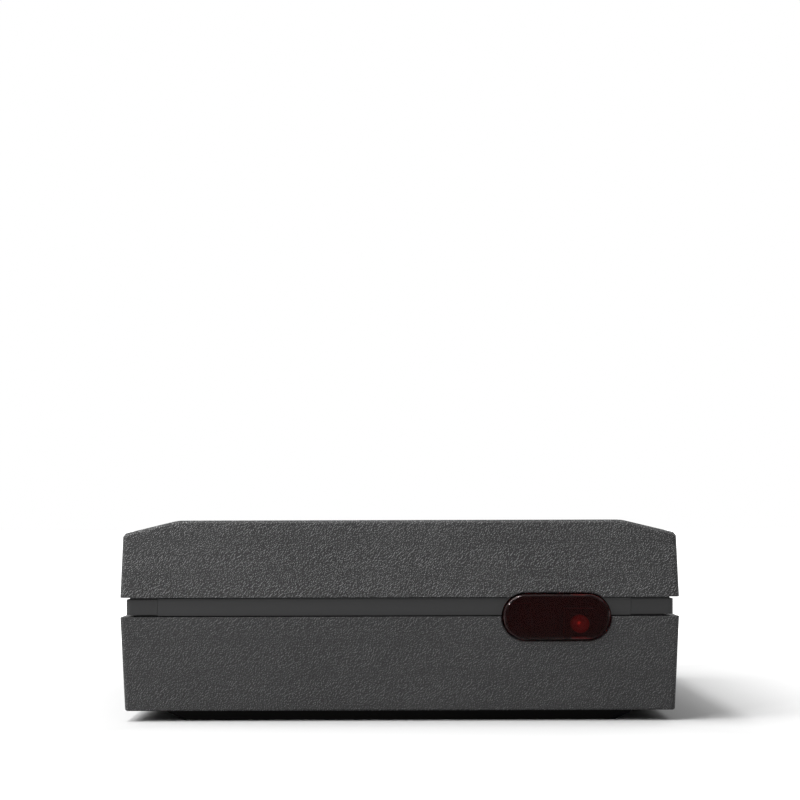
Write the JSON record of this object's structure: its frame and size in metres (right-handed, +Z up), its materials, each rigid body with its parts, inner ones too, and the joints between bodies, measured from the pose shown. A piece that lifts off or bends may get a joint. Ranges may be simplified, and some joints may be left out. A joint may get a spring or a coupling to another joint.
{
  "type": "wireless audio transmitter",
  "caption": "Small square table-top radio transmitter for home audio, with a dark red window in front and phono sockets and a DC inlet behind.",
  "frame": {"origin": "middle of the foot pad's underside, on the table", "axes": "+Z up, +X to the right seen from the front, the front with the window faces -Y"},
  "size_m": [0.092, 0.0983, 0.0331],
  "materials": {
    "cover_plastic": "fine moulded grain, charcoal",
    "case_plastic": "fine moulded grain, charcoal",
    "belt_plastic": "smooth satin, charcoal",
    "strip_plastic": "smooth satin, charcoal",
    "window_plastic": "polished, dark red",
    "foot_rubber": "dull black",
    "panel_plastic": "fine moulded grain, black",
    "control_black": "satin black",
    "control_grey": "satin grey",
    "screw_steel": "zinc plated",
    "tin_plate": "tinned sheet",
    "nickel_plate": "nickel plated",
    "contact_brass": "bright",
    "insert_red": "plain red",
    "insert_white": "plain white",
    "lamp_red": "clear red, unlit",
    "board_green": "solder resist",
    "part_black": "moulded black",
    "capacitor_sleeve": "shrunk sleeve, dark blue"
  },
  "bodies": {
    "root": {"antenna_plate": "tin_plate", "audio_converter": "part_black", "belt_frame": "belt_plastic", "board_screws": "screw_steel", "bottom_case": "case_plastic", "case_screws": "screw_steel", "channel_switch_body": "part_black", "channel_switch_frame": "tin_plate", "crystal": "tin_plate", "foot_pad": "foot_rubber", "front_strip": "strip_plastic", "indicator_board": "part_black", "indicator_header": "part_black", "infrared_receiver": "part_black", "inlet_housing": "part_black", "inlet_pin": "nickel_plate", "lamp_sleeve": "part_black", "lens_window": "window_plastic", "link_switch_body": "part_black", "main_board": "board_green", "phono_barrel_left": "nickel_plate", "phono_barrel_right": "nickel_plate", "phono_contact_left": "contact_brass", "phono_contact_right": "contact_brass", "phono_housing": "part_black", "phono_insert_left": "insert_white", "phono_insert_right": "insert_red", "power_capacitors": "capacitor_sleeve", "power_choke": "part_black", "radio_module": "board_green", "rear_panel": "panel_plastic", "shield_can": "tin_plate", "signal_capacitors": "capacitor_sleeve", "signal_processor": "part_black", "status_lamp": "lamp_red", "top_cover": "cover_plastic", "voltage_regulator": "part_black"},
    "channel_switch": {"channel_switch_lever": "control_black"},
    "link_button": {"link_button": "control_grey", "link_plunger": "control_black"}
  },
  "joints": [
    {"name": "channel_switch_slide", "type": "slide", "parent": "root", "child": "channel_switch", "axis": [1, 0, 0], "range_m": [-0.0016, 0.0016]},
    {"name": "link_button_press", "type": "slide", "parent": "root", "child": "link_button", "axis": [0, -1, 0], "range_m": [0, 0.0006], "stiffness_N_per_m": 2000, "springref_m": -0.0001}
  ]
}
